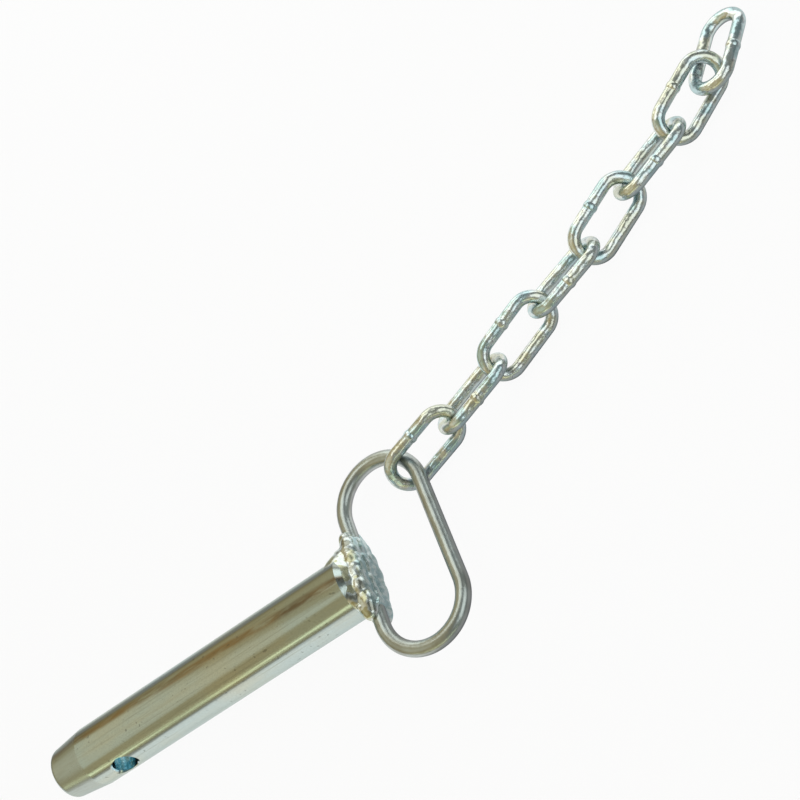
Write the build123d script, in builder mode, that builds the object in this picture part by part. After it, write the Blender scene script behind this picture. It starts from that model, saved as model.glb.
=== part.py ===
from build123d import *
from math import copysign, cos, hypot, radians, sin, sqrt
import os

os.makedirs("parts", exist_ok=True)

# Steel hitch pin with a welded finger loop and a short chain, lying on the ground. Millimetres.
# Origin: on the shank's axis where its parallel wall begins, just past the head's chamfer.
# +X runs along the shank to the nose, +Z is up.

# Shank: turned round bar, tapered nose, one cross hole for a linch pin.
SHANK_DIAMETER = 25.0
SHANK_LENGTH = 150.0
HEAD_CHAMFER = 2.0
NOSE_LENGTH = 16.0
NOSE_TIP_DIAMETER = 21.0
NOSE_ROUNDING = 2.5
CROSS_HOLE_DIAMETER = 10.0
CROSS_HOLE_FROM_TIP = 30.0
CROSS_HOLE_ANGLE = 15.0  # turn about the shank, from level
CROSS_HOLE_COUNTERSINK = 1.2

# Finger loop: round wire bent to a long ring, one leg across the head.
LOOP_WIRE_DIAMETER = 6.0
LOOP_LENGTH = 87.0  # outside
LOOP_WIDTH = 41.0  # outside
LOOP_STAND_OFF = 1.0  # weld metal between the wire and the head face
LOOP_SHIFT = -2.3  # the ring sits a little to the chain's side
LOOP_TILT = 6.5  # its chain end hangs down onto the first link

# Weld: a flare from the shank's chamfer to the wire, and a rippled run on each side of the wire.
FLARE_TOE_GAP = 0.2  # leaves the whole parallel wall clear
FLARE_TOE_THICKNESS = 0.4
FLARE_TOE_RISE = 0.5  # keeps it off the ground under the shank
FLARE_LENGTH = 35.0  # at the wire, along the loop
FLARE_WIDTH = 16.0
FLARE_SHIFT = -1.0
RIPPLE_PITCH = 2.5
RIPPLES_PER_RUN = 13
RUN_START = -17.0  # from the shank's axis, along the loop
RUN_HALF_LENGTH = 18.5
UPPER_RUN_RADIUS = 4.0
UPPER_RUN_OFFSET = 4.2
LOWER_RUN_RADIUS = 5.2
LOWER_RUN_OFFSET = -5.0

# Chain: eight alike welded links.
LINK_WIRE_DIAMETER = 5.0
LINK_INNER_LENGTH = 28.0
LINK_INNER_WIDTH = 10.0
LINK_SEAM_LENGTH = 2.6  # swelling where each link is butt welded
LINK_SEAM_HEIGHT = 0.3

# How the chain lies: each link leans on one leg, to the left and right by turns.
HOOK_ANGLE = 68.0  # place of the first link round the loop's lower bend
HOOK_PLAY = 2.8
LINK_HEADINGS = (-162, -161, -158, -162, -153, -160, -150)
LINK_LEANS = (53, -38, 38, -38, 38, -38, 38)
LINK_PLAYS = (0.8, 0.4, 0.4, 0.6, 1.2, 1.0)
END_LINK_HEADING = -130
END_LINK_LEAN = -22
END_LINK_DROP = 8  # its free end slopes down to the ground
END_LINK_ALONG = 3.5  # it has slid back over the wire it hangs on
END_LINK_ASIDE = -1.0

# Worked out from the sizes above.
shank_radius = SHANK_DIAMETER / 2
ground = -shank_radius
loop_wire_radius = LOOP_WIRE_DIAMETER / 2
loop_bend_radius = (LOOP_WIDTH - LOOP_WIRE_DIAMETER) / 2
loop_half_leg = (LOOP_LENGTH - LOOP_WIDTH) / 2
head_x = -HEAD_CHAMFER
tip_x = head_x + SHANK_LENGTH
loop_leg_x = head_x - LOOP_STAND_OFF - loop_wire_radius
link_wire_radius = LINK_WIRE_DIAMETER / 2
link_bend_radius = (LINK_INNER_WIDTH + LINK_WIRE_DIAMETER) / 2
link_half_leg = (LINK_INNER_LENGTH - LINK_INNER_WIDTH) / 2

# The loop's plane: local x along its long side, local y towards the head.
loop_long = Vector(0, cos(radians(LOOP_TILT)), sin(radians(LOOP_TILT)))
loop_side = Vector(0, -sin(radians(LOOP_TILT)), cos(radians(LOOP_TILT)))
loop_plane = Plane(
    origin=Vector(loop_leg_x - loop_bend_radius, 0, 0) + loop_long * LOOP_SHIFT,
    x_dir=loop_long,
    z_dir=-loop_side,
)


def wire_ring(half_leg, bend_radius, wire_radius):
    """A closed ring of round wire: two straight legs along X joined by two half-round bends."""
    with BuildPart() as ring:
        with BuildSketch(Plane.YZ):
            with Locations((bend_radius, 0), (-bend_radius, 0)):
                Circle(wire_radius)
        extrude(amount=half_leg, both=True)
        for end, turn in ((half_leg, -1), (-half_leg, 1)):
            with BuildSketch(Plane.YZ.offset(end)):
                with Locations((bend_radius, 0)):
                    Circle(wire_radius)
            revolve(axis=Axis((end, 0, 0), (0, 0, turn)), revolution_arc=180)
    return ring.part


def chain_link():
    """One link, centred, long side on X, with the low swelling of its butt weld on one leg."""
    surface = link_bend_radius + link_wire_radius
    foot = link_bend_radius + link_wire_radius / 2
    with BuildPart() as link:
        add(wire_ring(link_half_leg, link_bend_radius, link_wire_radius))
        with BuildSketch(Plane.XY):
            with BuildLine():
                start = (-LINK_SEAM_LENGTH / 2, surface)
                end = (LINK_SEAM_LENGTH / 2, surface)
                ThreePointArc(start, (0, surface + LINK_SEAM_HEIGHT), end)
                Polyline(end, (end[0], foot), (start[0], foot), start)
            make_face()
        revolve(axis=Axis((0, link_bend_radius, 0), (1, 0, 0)))
    return link.part


def heading_vector(heading, drop=0):
    """Unit vector along the ground, or sloping down by drop degrees."""
    level = cos(radians(drop))
    return Vector(cos(radians(heading)) * level, sin(radians(heading)) * level, -sin(radians(drop)))


def link_plane(place, heading, lean, drop=0):
    """Plane of a link over a place on the ground, its local y pointing to the raised leg."""
    along = heading_vector(heading, drop)
    level = heading_vector(heading + 90)
    raised_side = level * copysign(1, lean)
    across = raised_side * cos(radians(lean)) + along.cross(level) * sin(radians(abs(lean)))
    reach = link_half_leg * abs(along.Z) + link_bend_radius * hypot(along.Z, across.Z)
    height = ground + link_wire_radius + reach
    return Plane(origin=(place.X, place.Y, height), x_dir=along, z_dir=along.cross(across))


# Shank: one turned profile, then the cross hole with eased mouths.
hole_x = tip_x - CROSS_HOLE_FROM_TIP
hole_radius = CROSS_HOLE_DIAMETER / 2
hole_axis = Vector(0, cos(radians(CROSS_HOLE_ANGLE)), sin(radians(CROSS_HOLE_ANGLE)))
with BuildPart() as shank:
    with BuildSketch(Plane.XY) as profile:
        with BuildLine():
            Polyline(
                (head_x, 0),
                (head_x, shank_radius - HEAD_CHAMFER),
                (0, shank_radius),
                (tip_x - NOSE_LENGTH, shank_radius),
                (tip_x, NOSE_TIP_DIAMETER / 2),
                (tip_x, 0),
                close=True,
            )
        make_face()
        fillet(profile.vertices().sort_by(Axis.X)[-2:].sort_by(Axis.Y)[-1], NOSE_ROUNDING)
    revolve(axis=Axis.X)
    for side in (1, -1):
        middle = Plane(origin=(hole_x, 0, 0), x_dir=(1, 0, 0), z_dir=hole_axis * side)
        with BuildSketch(middle):
            Circle(hole_radius)
        extrude(amount=SHANK_DIAMETER, mode=Mode.SUBTRACT)
        with Locations(middle.offset(shank_radius)):
            Cone(
                hole_radius,
                hole_radius + CROSS_HOLE_COUNTERSINK,
                CROSS_HOLE_COUNTERSINK,
                align=(Align.CENTER, Align.CENTER, Align.MAX),
                mode=Mode.SUBTRACT,
            )
shank.part.label = "shank"
export_step(shank.part, "parts/shank.step")

# Finger loop: the ring laid in its plane, near leg over the head face.
with BuildPart() as handle_loop:
    ring = wire_ring(loop_half_leg, loop_bend_radius, loop_wire_radius)
    add(ring.moved(loop_plane.location))
handle_loop.part.label = "handle_loop"
export_step(handle_loop.part, "parts/handle_loop.step")

# Weld: the flare, then ripples along both sides of the wire, closer to it at both ends.
toe_plane = Plane(origin=(-FLARE_TOE_GAP, 0, FLARE_TOE_RISE), x_dir=(0, 1, 0), z_dir=(-1, 0, 0))
wire_plane = Plane(
    origin=Vector(loop_leg_x, 0, 0) + loop_long * FLARE_SHIFT, x_dir=loop_long, z_dir=(-1, 0, 0)
)
with BuildPart() as flare:
    with BuildSketch(toe_plane):
        Circle(shank_radius + FLARE_TOE_THICKNESS)
    with BuildSketch(wire_plane):
        Ellipse(FLARE_LENGTH / 2, FLARE_WIDTH / 2)
    loft()
    add(shank.part, mode=Mode.SUBTRACT)
    add(handle_loop.part, mode=Mode.SUBTRACT)
weld_runs = [flare.part]
for offset, radius in ((UPPER_RUN_OFFSET, UPPER_RUN_RADIUS), (LOWER_RUN_OFFSET, LOWER_RUN_RADIUS)):
    with BuildPart() as run:
        for ripple in range(RIPPLES_PER_RUN):
            along = RUN_START + ripple * RIPPLE_PITCH
            closing = sqrt(1 - (along / RUN_HALF_LENGTH) ** 2)
            centre = loop_long * along + loop_side * offset * closing
            with Locations(centre + Vector(loop_leg_x + LOOP_STAND_OFF, 0, 0)):
                Sphere(radius * (0.7 + 0.3 * closing))
        add(shank.part, mode=Mode.SUBTRACT)
        add(handle_loop.part, mode=Mode.SUBTRACT)
    weld_runs.append(run.part)
with BuildPart() as weld_bead:
    for run in weld_runs:
        add(run)
weld_bead.part.label = "weld_bead"
export_step(weld_bead.part, "parts/weld_bead.step")

# Chain: the first link hooks round the loop, each next one lies round the end of the last.
hook_bend = (
    -loop_half_leg - loop_bend_radius * cos(radians(HOOK_ANGLE)),
    -loop_bend_radius * sin(radians(HOOK_ANGLE)),
    0,
)
hook = loop_plane.from_local_coords(Vector(*hook_bend))
inner_reach = LINK_INNER_LENGTH / 2 - loop_wire_radius - HOOK_PLAY
place = hook + heading_vector(LINK_HEADINGS[0]) * inner_reach
link_planes = [link_plane(place, LINK_HEADINGS[0], LINK_LEANS[0])]
for number, play in enumerate(LINK_PLAYS, start=1):
    step = (LINK_INNER_LENGTH - play) / 2
    last, this = heading_vector(LINK_HEADINGS[number - 1]), heading_vector(LINK_HEADINGS[number])
    place = place + (last + this) * step
    link_planes.append(link_plane(place, LINK_HEADINGS[number], LINK_LEANS[number]))
end_wire = place + this * (LINK_INNER_LENGTH + LINK_WIRE_DIAMETER) / 2
place = (
    end_wire
    + heading_vector(END_LINK_HEADING) * END_LINK_ALONG
    + heading_vector(END_LINK_HEADING + 90) * END_LINK_ASIDE
)
link_planes.append(link_plane(place, END_LINK_HEADING, END_LINK_LEAN, END_LINK_DROP))

link = chain_link()
for number, plane in enumerate(link_planes, start=1):
    with BuildPart() as laid_link:
        add(link.moved(plane.location))
    laid_link.part.label = f"chain_link_{number}"
    export_step(laid_link.part, f"parts/chain_link_{number}.step")
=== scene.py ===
import bmesh
import bpy
import math
import random
from mathutils import Matrix, Vector, noise


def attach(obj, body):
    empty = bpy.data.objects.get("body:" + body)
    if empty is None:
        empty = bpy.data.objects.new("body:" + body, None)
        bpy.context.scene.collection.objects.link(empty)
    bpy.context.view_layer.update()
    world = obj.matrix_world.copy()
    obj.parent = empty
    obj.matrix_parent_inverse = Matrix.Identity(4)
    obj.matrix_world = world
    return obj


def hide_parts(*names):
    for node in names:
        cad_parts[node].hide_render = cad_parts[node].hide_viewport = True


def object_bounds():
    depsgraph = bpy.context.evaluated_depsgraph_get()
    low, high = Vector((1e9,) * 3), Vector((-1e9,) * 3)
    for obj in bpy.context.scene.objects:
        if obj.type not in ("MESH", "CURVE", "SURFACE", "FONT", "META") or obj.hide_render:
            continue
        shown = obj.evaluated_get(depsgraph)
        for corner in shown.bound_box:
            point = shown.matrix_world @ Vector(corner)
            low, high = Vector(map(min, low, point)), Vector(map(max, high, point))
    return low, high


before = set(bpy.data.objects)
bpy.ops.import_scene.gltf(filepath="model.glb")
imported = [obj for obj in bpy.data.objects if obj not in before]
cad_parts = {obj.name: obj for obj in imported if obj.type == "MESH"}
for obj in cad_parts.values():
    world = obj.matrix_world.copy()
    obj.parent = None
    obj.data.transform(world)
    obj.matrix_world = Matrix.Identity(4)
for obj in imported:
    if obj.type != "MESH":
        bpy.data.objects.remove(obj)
cad_low, cad_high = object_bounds()


# The shank: a length of 25 mm drawn steel bar, turned to a taper at the nose and eased at the
# head, cross drilled for a linch pin, then zinc plated and passivated. The plating is bright
# where the bar was smooth and dull on the turned nose.
nose_from, nose_to = 0.1315, 0.1330
hole_along, hole_turn = 0.118, math.radians(15.0)
hole_wall, hole_rim = 0.0050, 0.0058
# Where the painted brown reflection lies round the bar, in radians: at the head and per metre
# along it.
reflection_turn_at_head, reflection_turn_per_metre = 1.60, 3.1


class Wire:
    """An output of a shader node. Arithmetic on it adds Math nodes."""

    def __init__(self, finish, socket):
        self.finish, self.socket = finish, socket

    def math(self, operation, first, second=0.0):
        return self.finish.node("ShaderNodeMath", {"operation": operation}, {0: first, 1: second})

    def __add__(self, other):
        return self.math("ADD", self, other)

    def __sub__(self, other):
        return self.math("SUBTRACT", self, other)

    def __rsub__(self, other):
        return self.math("SUBTRACT", other, self)

    def __mul__(self, other):
        return self.math("MULTIPLY", self, other)

    def __pow__(self, other):
        return self.math("POWER", self, other)

    def __abs__(self):
        return self.math("ABSOLUTE", self)

    __radd__ = __add__
    __rmul__ = __mul__


class Finish:
    """A surface finish built from shader nodes."""

    def __init__(self, name, owner=None):
        self.owner = owner or bpy.data.materials.new(name)
        self.owner.use_nodes = True
        self.tree = self.owner.node_tree
        self.tree.nodes.clear()

    def node(self, kind, settings=None, values=None, output=0):
        made = self.tree.nodes.new(kind)
        for name, setting in (settings or {}).items():
            setattr(made, name, setting)
        for name, value in (values or {}).items():
            socket = made.inputs[name]
            if isinstance(value, Wire):
                self.tree.links.new(value.socket, socket)
            elif isinstance(value, tuple) and len(value) == 3 and len(socket.default_value) == 4:
                socket.default_value = (*value, 1.0)
            else:
                socket.default_value = value
        return Wire(self, made.outputs[output]) if len(made.outputs) else None

    def place(self):
        return self.node("ShaderNodeTexCoord", output="Object")

    def facing(self):
        return self.node("ShaderNodeTexCoord", output="Normal")

    def stretched(self, scale):
        return self.node("ShaderNodeMapping", {}, {"Vector": self.place(), "Scale": scale})

    def parts_of(self, vector):
        split = self.node("ShaderNodeSeparateXYZ", {}, {"Vector": vector})
        outputs = split.socket.node.outputs
        return [Wire(self, outputs[axis]) for axis in range(3)]

    def noise(self, scale, detail, roughness, place=None):
        values = {
            "Vector": place or self.place(),
            "Scale": scale,
            "Detail": detail,
            "Roughness": roughness,
        }
        return self.node("ShaderNodeTexNoise", {}, values)

    def rise(self, value, low, high):
        values = {0: value, 1: low, 2: high, 3: 0.0, 4: 1.0}
        return self.node("ShaderNodeMapRange", {"interpolation_type": "SMOOTHSTEP"}, values)

    def blend(self, factor, first, second):
        values = {0: factor, 6: first, 7: second}
        return self.node("ShaderNodeMix", {"data_type": "RGBA"}, values, output=2)

    def bump(self, height, distance):
        values = {"Height": height, "Distance": distance, "Strength": 1.0}
        return self.node("ShaderNodeBump", {}, values)

    def metal(self, colour, roughness, normal, rim):
        values = {
            "Base Color": colour,
            "Metallic": 1.0,
            "Roughness": roughness,
            "Specular Tint": rim,
            "Normal": normal,
        }
        shader = self.node("ShaderNodeBsdfPrincipled", {}, values)
        self.node("ShaderNodeOutputMaterial", {}, {"Surface": shader})
        return self.owner


def coat(node_name, material):
    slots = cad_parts[node_name].data.materials
    slots.clear()
    slots.append(material)


bar = Finish("zinc_on_drawn_bar")
x, y, z = bar.parts_of(bar.place())
cloud = bar.noise(28.0, 3.0, 0.55)
drawn = bar.noise(1.0, 4.0, 0.6, bar.stretched((18.0, 900.0, 900.0)))
broad = bar.noise(1.0, 3.0, 0.6, bar.stretched((9.0, 260.0, 260.0)))
nose = bar.rise(x, nose_from, nose_to)
pale_blue, straw = (0.56, 0.65, 0.62), (0.61, 0.63, 0.52)
colour = bar.blend(bar.rise(cloud + 0.4 * broad, 0.55, 0.95), pale_blue, straw)

# A painted reflection: a brown band, set where the bar would mirror a dark brown thing, runs
# along the top of the bar and turns with it, and past it lies a painted dark olive reflection on
# the rim.
around = z.math("ARCTAN2", z, y)
reflection_line = reflection_turn_at_head + reflection_turn_per_metre * x
from_reflection = abs(around - reflection_line - 0.12 * (cloud - 0.5))
reflection_blotches = bar.noise(1.0, 3.0, 0.6, bar.stretched((70.0, 420.0, 420.0)))
brown_reflection_mask = (1.0 - bar.rise(from_reflection, 0.04, 0.21)) * bar.rise(reflection_blotches, 0.28, 0.60)
reflection_dark_brown, reflection_light_brown = (0.24, 0.18, 0.11), (0.43, 0.31, 0.16)
reflection_brown = bar.blend(bar.rise(cloud, 0.40, 0.62), reflection_dark_brown, reflection_light_brown)
colour = bar.blend(brown_reflection_mask * 0.9, colour, reflection_brown)
# The olive is a painted dark reflection along the rim, past the brown band.
past_reflection_mask = bar.rise(around, 1.92, 2.10) * (1.0 - bar.rise(around, 2.14, 2.36))
painted_rim_olive = (0.35, 0.32, 0.19)
colour = bar.blend(past_reflection_mask * (1.0 - nose) * 0.4, colour, painted_rim_olive)

streaks = bar.rise(drawn, 0.50, 0.70)
colour = bar.blend(streaks * 0.35, colour, (0.33, 0.34, 0.27))
grain = bar.rise(bar.noise(1900.0, 2.0, 0.6), 0.45, 0.62)
colour = bar.blend(grain * 0.16, colour, (0.30, 0.31, 0.28))
pits = bar.rise(bar.noise(520.0, 1.0, 0.5), 0.70, 0.76)
colour = bar.blend(pits * 0.45, colour, (0.16, 0.16, 0.14))
dull_nose = (0.47, 0.49, 0.43)
colour = bar.blend(nose * 0.5, colour, dull_nose)

# The cross hole is tinted blue zinc inside, with pale spots of painted highlight as glints.
hole_side = z * math.cos(hole_turn) - y * math.sin(hole_turn)
from_hole = ((x - hole_along) ** 2.0 + hole_side ** 2.0) ** 0.5
bore = 1.0 - bar.rise(from_hole, hole_wall, hole_rim)
glint_spots = bar.rise(bar.noise(420.0, 1.0, 0.5), 0.48, 0.58)
blue_zinc, painted_glint = (0.34, 0.64, 0.74), (0.86, 0.94, 0.96)
colour = bar.blend(bore * 0.85, colour, bar.blend(glint_spots, blue_zinc, painted_glint))
roughness = 0.11 + 0.06 * cloud + 0.05 * drawn + 0.12 * nose
normal = bar.bump(drawn, 0.00003)
coat("shank", bar.metal(colour, roughness, normal, (0.75, 0.80, 0.80)))


# The weld: a flare of metal from the rim of the head up to the handle's wire, and over it one
# run on each side of the wire, laid by hand in overlapping ripples and plated with the rest.
millimetre = 0.001
handle_tilt = math.radians(6.5)
along_wire = Vector((0.0, math.cos(handle_tilt), math.sin(handle_tilt)))
over_wire = Vector((0.0, -math.sin(handle_tilt), math.cos(handle_tilt)))
wire_line = Vector((-6.0, 0.0, 0.0))
toe_radius = 12.35
oval_half_length, oval_half_width = 17.0, 7.0
thick_side = math.radians(128)
upper_run, lower_run = (4.3, 4.0), (-5.0, 5.1)
run_start, ripple_pitch, run_half_length = -16.2, 2.2, 18.6
cover_start, cover_pitch = -14.6, 2.35
skin_grain = 0.00032
wave_height, waves_per_metre = 0.00020, 280.0
random.seed(11)


def flare(shape, steps=14, points=72):
    """A trumpet of rings from the shank's wall to a long oval round the wire."""
    rings = []
    for step in range(steps + 1):
        share = step / steps
        ring = []
        for point in range(points):
            turn = math.tau * point / points
            side = max(0.0, math.cos(turn - thick_side))
            toe = 0.4 + 5.0 * side ** 1.3 + 0.5 * noise.noise(Vector((3 * turn, 0.0, 1.7)))
            first = Vector((toe, toe_radius * math.cos(turn), toe_radius * math.sin(turn)))
            oval = along_wire * oval_half_length * math.cos(turn)
            oval += over_wire * oval_half_width * math.sin(turn)
            last = wire_line + oval - along_wire
            place = first.lerp(last, share)
            bulge = 0.9 * math.sin(math.pi * share) ** 0.7
            outward = Vector((0.0, math.cos(turn), math.sin(turn)))
            ring.append(shape.verts.new((place + outward * bulge) * millimetre))
        rings.append(ring)
    for lower, upper in zip(rings, rings[1:]):
        for point in range(points):
            after = (point + 1) % points
            shape.faces.new((lower[point], lower[after], upper[after], upper[point]))
    shape.faces.new(rings[-1])
    shape.faces.new(rings[0][::-1])


def lump(shape, place, radius, stretch=1.0):
    """A ball of weld metal, drawn out along the wire where stretch is over 1."""
    turn = Matrix((along_wire, over_wire, along_wire.cross(over_wire))).transposed().to_4x4()
    size = radius * millimetre
    scale = Matrix.Diagonal((radius * stretch * millimetre, size, size, 1.0))
    spot = Matrix.Translation(place * millimetre) @ turn @ scale
    bmesh.ops.create_icosphere(shape, subdivisions=3, radius=1.0, matrix=spot)


def solid_mesh(name, shape, grain):
    """The outer skin of everything in shape, as one mesh of even small faces."""
    rough_mesh = bpy.data.meshes.new(name + "_rough")
    shape.to_mesh(rough_mesh)
    rough = bpy.data.objects.new(name + "_rough", rough_mesh)
    bpy.context.collection.objects.link(rough)
    remesh = rough.modifiers.new("skin", "REMESH")
    remesh.mode, remesh.voxel_size = "VOXEL", grain
    even = rough.modifiers.new("even", "SMOOTH")
    even.factor, even.iterations = 0.5, 8
    settled = rough.evaluated_get(bpy.context.evaluated_depsgraph_get())
    made = bpy.data.meshes.new_from_object(settled)
    bpy.data.objects.remove(rough)
    bpy.data.meshes.remove(rough_mesh)
    return made


weld_shape = bmesh.new()
flare(weld_shape)
for offset, radius in (upper_run, lower_run):
    for ripple in range(14):
        along = run_start + ripple_pitch * ripple
        closing = math.sqrt(1.0 - (along / run_half_length) ** 2)
        spot = wire_line + along_wire * (along + random.uniform(-0.8, 0.8))
        spot += over_wire * (offset * closing + random.uniform(-0.25, 0.25))
        spot.x += 1.0 + random.uniform(-0.35, 0.35)
        size = radius * (0.7 + 0.3 * closing) * random.uniform(0.93, 1.05)
        lump(weld_shape, spot, size, 1.5)
for cover in range(12):
    along = cover_start + cover_pitch * cover
    spot = wire_line + along_wire * along + over_wire * random.uniform(-0.6, 0.6)
    spot.x -= random.uniform(0.1, 0.7)
    lump(weld_shape, spot, random.uniform(3.1, 3.5), 1.2)
for spatter in range(11):
    along, turn = random.uniform(-14.0, 13.0), math.radians(random.uniform(20.0, 150.0))
    spot = wire_line + along_wire * along + Vector((2.0, 0.0, 0.0))
    spot += over_wire * 6.2 * math.sin(turn) + Vector((-5.4 * math.cos(turn), 0.0, 0.0))
    lump(weld_shape, spot, random.uniform(0.7, 1.5))
weld_mesh = solid_mesh("weld", weld_shape, skin_grain)
weld_shape.free()
outward = [vertex.normal.copy() for vertex in weld_mesh.vertices]
for vertex, normal in zip(weld_mesh.vertices, outward):
    vertex.co += normal * wave_height * noise.noise(vertex.co * waves_per_metre)
weld_mesh.shade_smooth()
weld = bpy.data.objects.new("weld", weld_mesh)
bpy.context.collection.objects.link(weld)
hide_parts("weld_bead")
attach(weld, "pin")

bead = Finish("zinc_on_weld")
behind = 0.0 - bead.parts_of(bead.place())[0]
lumps = bead.noise(420.0, 2.0, 0.5)
patches = bead.noise(230.0, 2.0, 0.5)
colour = bead.blend(lumps, (0.74, 0.80, 0.77), (0.88, 0.90, 0.84))
yellow_green, heat_brown = (0.52, 0.50, 0.28), (0.26, 0.25, 0.18)
colour = bead.blend(bead.rise(patches, 0.50, 0.58) * 0.8, colour, yellow_green)
colour = bead.blend(0.75 - 0.75 * bead.rise(patches, 0.38, 0.45), colour, heat_brown)
past_wire = bead.rise(behind, 0.0070, 0.0086)
teal, white_blue = (0.46, 0.66, 0.68), (0.80, 0.94, 0.94)
tint = bead.blend(bead.rise(lumps, 0.42, 0.60), teal, white_blue)
colour = bead.blend(past_wire * 0.8, colour, tint)
roughness = 0.20 + 0.12 * lumps
normal = bead.bump(lumps, 0.00007)
weld_mesh.materials.clear()
weld_mesh.materials.append(bead.metal(colour, roughness, normal, (0.8, 0.86, 0.86)))


# The handle: 6 mm wire bent to a long ring, closed by a butt weld and welded across the head,
# then plated with the shank. Its underside is painted darker, as painted shade where it faces
# down.
ring = Finish("zinc_on_wire")
fine = ring.noise(350.0, 3.0, 0.6)
patches = ring.noise(90.0, 3.0, 0.55)
upward = ring.parts_of(ring.facing())[2]
colour = ring.blend(fine, (0.46, 0.52, 0.50), (0.62, 0.64, 0.60))
colour = ring.blend(ring.rise(patches, 0.46, 0.66) * 0.7, colour, (0.40, 0.41, 0.36))
# Painted shade: the wire turns darker as its surface faces down.
painted_under_shade = 1.0 - ring.rise(upward, -0.15, 0.30)
colour = ring.blend(painted_under_shade * 0.6, colour, (0.22, 0.21, 0.24))
roughness = 0.25 + 0.10 * fine
normal = ring.bump(fine, 0.00010)
coat("handle_loop", ring.metal(colour, roughness, normal, (0.8, 0.82, 0.82)))


# The chain: eight links of 5 mm wire, each bent round and butt welded through the last one,
# barrel plated, so that the links are dented and nicked where they struck each other.
link = Finish("zinc_on_chain")
dents = link.noise(160.0, 1.5, 0.45)
nicks = link.noise(700.0, 2.0, 0.6)
patches = link.noise(140.0, 2.0, 0.5)
upward = link.parts_of(link.facing())[2]
colour = link.blend(link.rise(nicks, 0.35, 0.65), (0.78, 0.86, 0.86), (0.95, 0.98, 0.97))
straw, teal, nicked = (0.74, 0.72, 0.52), (0.44, 0.68, 0.70), (0.26, 0.24, 0.28)
colour = link.blend(link.rise(patches, 0.45, 0.60) * 0.65, colour, straw)
colour = link.blend(0.6 - 0.6 * link.rise(patches, 0.36, 0.50), colour, teal)
colour = link.blend(link.rise(nicks, 0.58, 0.66) * 0.5, colour, nicked)
# Painted shade: by which way the surface faces, the links' sides are painted teal and their
# undersides dark grey.
painted_side_teal, painted_under_grey = (0.50, 0.68, 0.69), (0.30, 0.29, 0.33)
colour = link.blend(0.55 - 0.55 * link.rise(upward, 0.10, 0.55), colour, painted_side_teal)
colour = link.blend(0.6 - 0.6 * link.rise(upward, -0.20, 0.15), colour, painted_under_grey)
roughness = 0.21 + 0.10 * nicks
normal = link.bump(dents + 0.05 * nicks, 0.0012)
chain_metal = link.metal(colour, roughness, normal, (0.78, 0.82, 0.80))
for number in range(1, 9):
    coat(f"chain_link_{number}", chain_metal)


# The studio: a pale sheet under the part and a cloth tent over it, in a white room. The camera
# sees through both to the room, with the part's faint shadow left on the sheet. The polished
# metal mirrors the sheet, the tent and five soft panels.
floor_height = cad_low.z
far = 30.0
see_through, mirror_share = 0.94, 0.94
sheet_mesh = bpy.data.meshes.new("floor_sheet")
corner_signs = ((-1, -1), (1, -1), (1, 1), (-1, 1))
corners = [(across * far, along * far, floor_height) for across, along in corner_signs]
sheet_mesh.from_pydata(corners, [], [(0, 1, 2, 3)])
sheet = bpy.data.objects.new("floor_sheet", sheet_mesh)
bpy.context.collection.objects.link(sheet)

paper = Finish("floor_paper")
rays = paper.node("ShaderNodeLightPath").socket.node.outputs
seen = Wire(paper, rays["Is Camera Ray"])
mirrored = Wire(paper, rays["Is Glossy Ray"]) + Wire(paper, rays["Is Transmission Ray"])
x, y, z = paper.parts_of(paper.place())
# The sheet as the metal mirrors it is painted: its white glow carries a painted contact shadow
# round the part, and painted shade beside the chain, behind and beside the shank and further out.
open_sky = paper.node("ShaderNodeAmbientOcclusion", {"samples": 3}, {"Distance": 0.004}, "AO")
beside_chain = paper.rise(0.94 * (y + 0.03) - 0.34 * (x + 0.04), -0.012, 0.012)
shade = 0.65 * beside_chain * paper.rise(0.0 - x, -0.012, 0.020)
reach = (x ** 2.0 + (y - 0.06) ** 2.0) ** 0.5
behind_shank = paper.rise(x, -0.02, 0.05) * paper.rise(0.0 - y, 0.02, 0.08)
shade = shade + (0.65 - shade) * paper.rise(reach, 0.22, 0.48)
shade = shade + (0.70 - shade) * behind_shank
beside_shank = 0.4 * paper.rise(y, 0.06, 0.24) * paper.rise(x, 0.0, 0.08)
light = open_sky * (1.0 - shade) * (1.0 - beside_shank)
shaded = paper.blend(light, (0.03, 0.03, 0.04), (1.0, 1.0, 1.0))
white = paper.node("ShaderNodeEmission", {}, {"Color": shaded, "Strength": 1.0})
matt = paper.node("ShaderNodeBsdfDiffuse", {}, {"Color": (0.85, 0.86, 0.86)})
clear = paper.node("ShaderNodeBsdfTransparent")
mixed = paper.node("ShaderNodeMixShader", {}, {0: see_through * seen, 1: matt, 2: clear})
mixed = paper.node("ShaderNodeMixShader", {}, {0: mirror_share * mirrored, 1: mixed, 2: white})
paper.node("ShaderNodeOutputMaterial", {}, {"Surface": mixed})
paper.owner.cycles.emission_sampling = "NONE"
sheet_mesh.materials.append(paper.owner)

tent_shape = bmesh.new()
bmesh.ops.create_uvsphere(tent_shape, u_segments=48, v_segments=24, radius=2.4)
buried = [face for face in tent_shape.faces if face.calc_center_median().z < 0.0]
bmesh.ops.delete(tent_shape, geom=buried, context="FACES")
tent_mesh = bpy.data.meshes.new("warm_tent")
tent_shape.to_mesh(tent_mesh)
tent_shape.free()
tent = bpy.data.objects.new("warm_tent", tent_mesh)
tent.location.z = floor_height
bpy.context.collection.objects.link(tent)
tent.visible_camera = False

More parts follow.
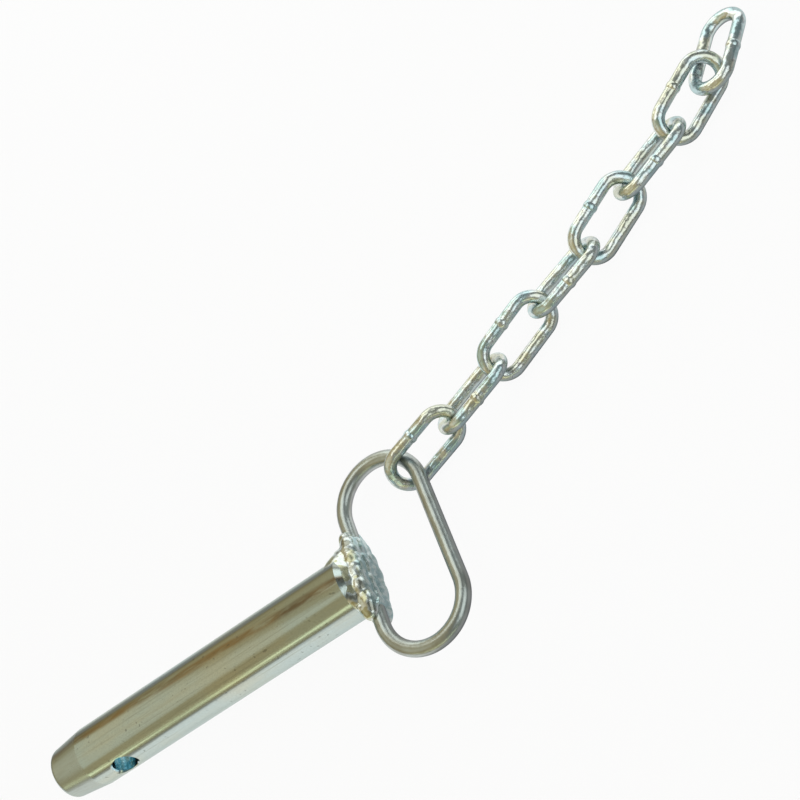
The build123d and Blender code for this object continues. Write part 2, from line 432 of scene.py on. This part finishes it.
cloth = Finish("tent_cloth")
x, y, z = cloth.parts_of(cloth.place())
warmth = cloth.rise(x, -0.8, 0.9)
hem = cloth.blend(warmth, (0.12, 0.135, 0.135), (0.315, 0.27, 0.165))
crown = cloth.blend(warmth, (0.16, 0.18, 0.18), (0.42, 0.36, 0.22))
hue = cloth.blend(cloth.rise(z, 0.05, 0.45), hem, crown)
glow = cloth.node("ShaderNodeEmission", {}, {"Color": hue, "Strength": 1.0})
cloth.node("ShaderNodeOutputMaterial", {}, {"Surface": glow})
cloth.owner.cycles.emission_sampling = "NONE"
tent_mesh.materials.append(cloth.owner)

room = bpy.data.worlds.new("white_room")
bpy.context.scene.world = room
air = Finish("white_room", room)
rays = air.node("ShaderNodeLightPath").socket.node.outputs
direct = Wire(air, rays["Is Camera Ray"]) + Wire(air, rays["Is Glossy Ray"])
direct = direct + Wire(air, rays["Is Transmission Ray"])
colour = air.blend(direct, (0.42, 0.36, 0.22), (1.0, 1.0, 1.0))
glow = air.node("ShaderNodeBackground", {}, {"Color": colour, "Strength": 1.0})
air.node("ShaderNodeOutputWorld", {}, {"Surface": glow})


def panel(name, centre, along, facing, length, width, radiance, colour):
    """A flat soft light at centre that shines along facing, its long side along the other."""
    lamp = bpy.data.lights.new(name, "AREA")
    lamp.shape, lamp.size, lamp.size_y = "RECTANGLE", length, width
    lamp.energy = radiance * math.pi * length * width
    lamp.color = colour
    holder = bpy.data.objects.new(name, lamp)
    bpy.context.collection.objects.link(holder)
    back = -Vector(facing).normalized()
    side = Vector(along)
    side = (side - back * side.dot(back)).normalized()
    turn = Matrix((side, back.cross(side), back)).transposed().to_4x4()
    holder.matrix_world = Matrix.Translation(centre) @ turn
    holder.visible_camera = False


# The overhead panel's long edge is where the shank mirrors it as a straight line.
edge_point = Vector((0.3155, -0.134, 0.5))
edge_across, edge_along = Vector((0.9, 0.44, 0.0)), Vector((-0.44, 0.9, 0.0))
centre = edge_point + edge_across * 0.35 + edge_along * -0.16
down, lengthwise = (0, 0, -1), (1, 0, 0)
cool, cool_green, cool_white = (0.8, 0.95, 1.0), (0.88, 1.0, 0.68), (0.95, 1.0, 1.0)
window_side, window_way = (0.37, 0.93, 0), (0.73, -0.28, -0.6)
panel("overhead_panel", centre, edge_along, down, 1.08, 0.7, 0.24, cool)
panel("low_strip", (0.35, 0.6, 0.18), lengthwise, (0, -1, -0.3), 1.4, 0.11, 0.85, cool_green)
panel("window", (-0.35, 0.13, 0.28), window_side, window_way, 0.40, 0.28, 1.0, cool_white)
panel("side_panel", (-0.33, -0.5, 0.17), lengthwise, (0, 1, -0.1), 0.9, 0.30, 1.2, cool_white)
panel("chain_panel", (-0.02, -0.33, 0.50), lengthwise, down, 0.42, 0.36, 1.15, cool_white)


# The camera stands above the handle's far side and looks down along the shank, rolled so that
# the chain runs up to the right. Its place and lens were fitted to the outlines in the photo.
camera = bpy.data.objects.new("camera", bpy.data.cameras.new("camera"))
bpy.context.collection.objects.link(camera)
right = Vector((-0.78792, 0.36914, -0.49286))
up = Vector((-0.54791, -0.78556, 0.28756))
turn = Matrix((right, up, right.cross(up))).transposed().to_4x4()
camera.matrix_world = Matrix.Translation((-0.1993, 0.2120, 0.4423)) @ turn
camera.data.sensor_width = 36.0
camera.data.lens = 63.18
bpy.context.scene.camera = camera
bpy.context.scene.view_settings.view_transform = "Standard"
